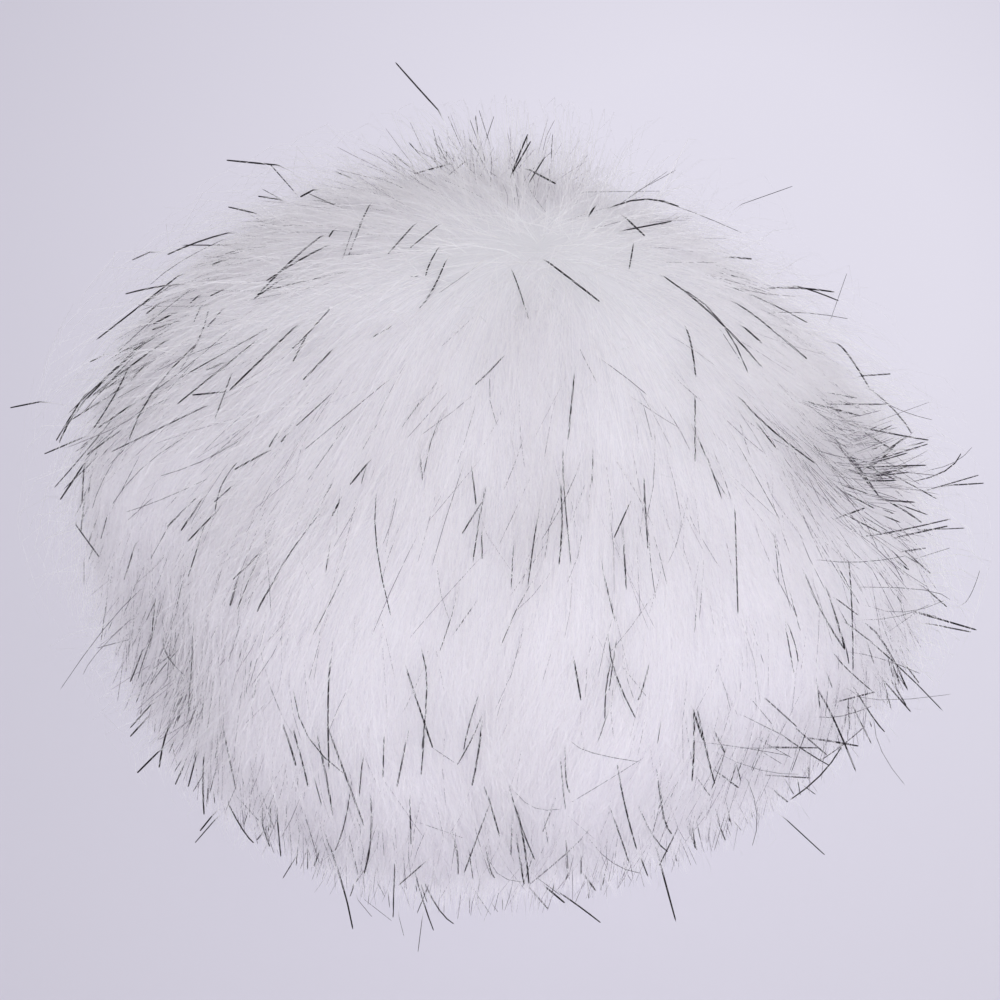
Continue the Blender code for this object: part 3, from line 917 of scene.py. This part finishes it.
# The smoky hairs: fine grey-brown ones, less than half the width of the guard hairs, knitted in with them.
# They stray a little to either side of the way the pile is brushed, and fringe its lower edge.
SMOKY_SEED = 37
SMOKY_HAIRS = 6000
SMOKY_SPARE = 8
SMOKY_WIDTH = 0.000085
SMOKY_WIDTH_SPREAD = (0.6, 1.3)
SMOKY_DEPTH = 0.11
SMOKY_TRAVEL_SPREAD = (0.50, 1.20)
SMOKY_BEND = 0.06
SMOKY_PROUD = Proud(mean=0.02, spread=0.12, hem=0.22)
SMOKY_BARE_SHARE = 0.38
SMOKY_GROWTH = (
    Growth(0, 0.20), Growth(30, 0.34), Growth(60, 0.38), Growth(90, 0.24),
    Growth(110, 0.15), Growth(130, 0.10), Growth(142, 0.00),
)

# How far they stray on the upper and the lower half, and how much further those below this height hang
STRAYING_ABOVE = 0.28
STRAYING_BELOW = 0.16
HANGING = math.radians(10)
HANGING_BELOW = 0.2

# Their dye, from the darkest hair to the palest, and where along the hair it sets in
SMOKE_COLOURS = ((0.0, (0.08, 0.065, 0.08, 1.0)), (1.0, (0.42, 0.39, 0.43, 1.0)))
SMOKE_ROOT = (0.95, 0.94, 0.95, 1.0)
SMOKE_SETS_IN = (0.25, 0.45)

chance = np.random.default_rng(SMOKY_SEED)
roots = sown(SMOKY_HAIRS, SMOKY_SPARE, SMOKY_GROWTH, SMOKY_BARE_SHARE, "smoke", chance)
hairs = len(roots)
axes, travel, sink = brushed(roots, chance)
straying = np.where(roots[:, 2] < 0.0, STRAYING_BELOW, STRAYING_ABOVE)
axes = turned(axes, roots, chance.normal(0.0, 1.0, hairs) * straying)
travel *= chance.uniform(*SMOKY_TRAVEL_SPREAD, hairs)
travel += np.where(roots[:, 2] < HANGING_BELOW, HANGING, 0.0) * chance.random(hairs)
tips = stiff_tips(roots, axes, travel, sink, SMOKY_PROUD, chance)
bends = chance.normal(0.0, SMOKY_BEND, hairs)
paths = stiff_hairs(in_the_pile(roots, pile_length(roots) - SMOKY_DEPTH), tips, bends, GUARD_STOPS)
widths = SMOKY_WIDTH * chance.uniform(*SMOKY_WIDTH_SPREAD, hairs)[:, None] * GUARD_TAPER
tone = chance.uniform(*TONES, hairs)
roll = chance.uniform(0.0, math.pi, hairs)

smoky_hair, nodes, links = make_material("smoky_hair")
split = hair_map_split(nodes, links)
smoke = colour_ramp(nodes, SMOKE_COLOURS)
root_white = nodes.new("ShaderNodeMapRange")
root_white.inputs["From Min"].default_value = SMOKE_SETS_IN[0]
root_white.inputs["From Max"].default_value = SMOKE_SETS_IN[1]
smoky_colour = nodes.new("ShaderNodeMix")
smoky_colour.data_type = "RGBA"
smoky_colour.inputs["A"].default_value = SMOKE_ROOT
fibre = nodes.new("ShaderNodeBsdfPrincipled")
fibre.inputs["Roughness"].default_value = 0.5
output = nodes.new("ShaderNodeOutputMaterial")
links.new(split.outputs["X"], smoke.inputs["Fac"])
links.new(split.outputs["Y"], root_white.inputs["Value"])
links.new(root_white.outputs["Result"], smoky_colour.inputs["Factor"])
links.new(smoke.outputs["Color"], smoky_colour.inputs["B"])
links.new(smoky_colour.outputs["Result"], fibre.inputs["Base Color"])
links.new(fibre.outputs["BSDF"], output.inputs["Surface"])

smoky = hair_mesh("smoky_hairs", paths, widths, tone, roll)
smoky.data.materials.append(smoky_hair)
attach(smoky, "root")


# The floor: a plain pale sheet with painted light. It glows, as if lit through from below, so that shadows on
# it stay faint, and the painted glow is brightest behind the ball, a little to the right. It isn't part of
# the object.
FLOOR_REACH = 3
SHEET_COLOUR = (0.14, 0.136, 0.155, 1.0)
SHEET_LIGHT = ((0.08, (0.655, 0.635, 0.72, 1.0)), (0.33, (0.499, 0.480, 0.555, 1.0)))
BRIGHT_SPOT = (0.045, 0.17, 0.0)
BRIGHT_SPOT_NARROWED = (2.1, 1.0, 0.0)

floor_corners = [(x * FLOOR_REACH, y * FLOOR_REACH, 0) for x, y in ((-1, -1), (1, -1), (1, 1), (-1, 1))]
floor_mesh = bpy.data.meshes.new("floor")
floor_mesh.from_pydata(floor_corners, [], [(0, 1, 2, 3)])
floor = bpy.data.objects.new("floor", floor_mesh)
bpy.context.collection.objects.link(floor)

pale_sheet, nodes, links = make_material("pale_sheet")
sheet_face = nodes.new("ShaderNodeBsdfDiffuse")
sheet_face.inputs["Color"].default_value = SHEET_COLOUR
# Painted light: the sheet's glow, brightest round its bright spot, which keeps shadows on it faint
sheet_glow = nodes.new("ShaderNodeEmission")
sheet_glow.inputs["Strength"].default_value = 1.0
sheet_place = nodes.new("ShaderNodeTexCoord")
from_bright_spot = vector_step(nodes, "SUBTRACT", by=BRIGHT_SPOT)
narrowed = vector_step(nodes, "MULTIPLY", by=BRIGHT_SPOT_NARROWED)
how_far = vector_step(nodes, "LENGTH")
sheet_light = colour_ramp(nodes, SHEET_LIGHT)
both = nodes.new("ShaderNodeAddShader")
sheet_output = nodes.new("ShaderNodeOutputMaterial")
links.new(sheet_place.outputs["Object"], from_bright_spot.inputs[0])
links.new(from_bright_spot.outputs["Vector"], narrowed.inputs[0])
links.new(narrowed.outputs["Vector"], how_far.inputs[0])
links.new(how_far.outputs["Value"], sheet_light.inputs["Fac"])
links.new(sheet_light.outputs["Color"], sheet_glow.inputs["Color"])
links.new(sheet_face.outputs["BSDF"], both.inputs[0])
links.new(sheet_glow.outputs["Emission"], both.inputs[1])
links.new(both.outputs["Shader"], sheet_output.inputs["Surface"])
pale_sheet.cycles.emission_sampling = "NONE"
floor_mesh.materials.append(pale_sheet)


# The light: a pale room with bright walls and a dimmer ceiling, and one large soft box in front of the ball
# and a little to its right. There is no lamp, so no shadow is hard. White fur hands light on from hair to
# hair, so the light is followed through many bounces.
WALL_LIGHT = 0.86
CEILING_LIGHT = 0.47
ROOM_COLOUR = (0.965, 0.955, 1.0, 1.0)
SOFT_BOX_DIRECTION = (0.28, -0.96, 0.00)
SOFT_BOX_EDGE = 0.32
SOFT_BOX_LIGHT = 1.42
BOUNCES = 12

world = bpy.data.worlds.new("soft_room")
bpy.context.scene.world = world
world.use_nodes = True
world.cycles.sampling_method = "NONE"
nodes = world.node_tree.nodes
links = world.node_tree.links
nodes["Background"].inputs["Color"].default_value = ROOM_COLOUR
room_direction = nodes.new("ShaderNodeTexCoord")
room_split = nodes.new("ShaderNodeSeparateXYZ")
room_light = nodes.new("ShaderNodeMapRange")
room_light.inputs["To Min"].default_value = WALL_LIGHT
room_light.inputs["To Max"].default_value = CEILING_LIGHT
towards_box = vector_step(nodes, "DOT_PRODUCT", by=SOFT_BOX_DIRECTION)
box_light = nodes.new("ShaderNodeMapRange")
box_light.interpolation_type = "SMOOTHSTEP"
box_light.inputs["From Min"].default_value = SOFT_BOX_EDGE
box_light.inputs["To Max"].default_value = SOFT_BOX_LIGHT
all_light = nodes.new("ShaderNodeMath")
all_light.operation = "ADD"
links.new(room_direction.outputs["Generated"], room_split.inputs["Vector"])
links.new(room_split.outputs["Z"], room_light.inputs["Value"])
links.new(room_direction.outputs["Generated"], towards_box.inputs[0])
links.new(towards_box.outputs["Value"], box_light.inputs["Value"])
links.new(room_light.outputs["Result"], all_light.inputs[0])
links.new(box_light.outputs["Result"], all_light.inputs[1])
links.new(all_light.outputs["Value"], nodes["Background"].inputs["Strength"])

scene = bpy.context.scene
scene.view_settings.view_transform = "Standard"
scene.cycles.max_bounces = BOUNCES
scene.cycles.diffuse_bounces = BOUNCES
scene.cycles.transmission_bounces = BOUNCES
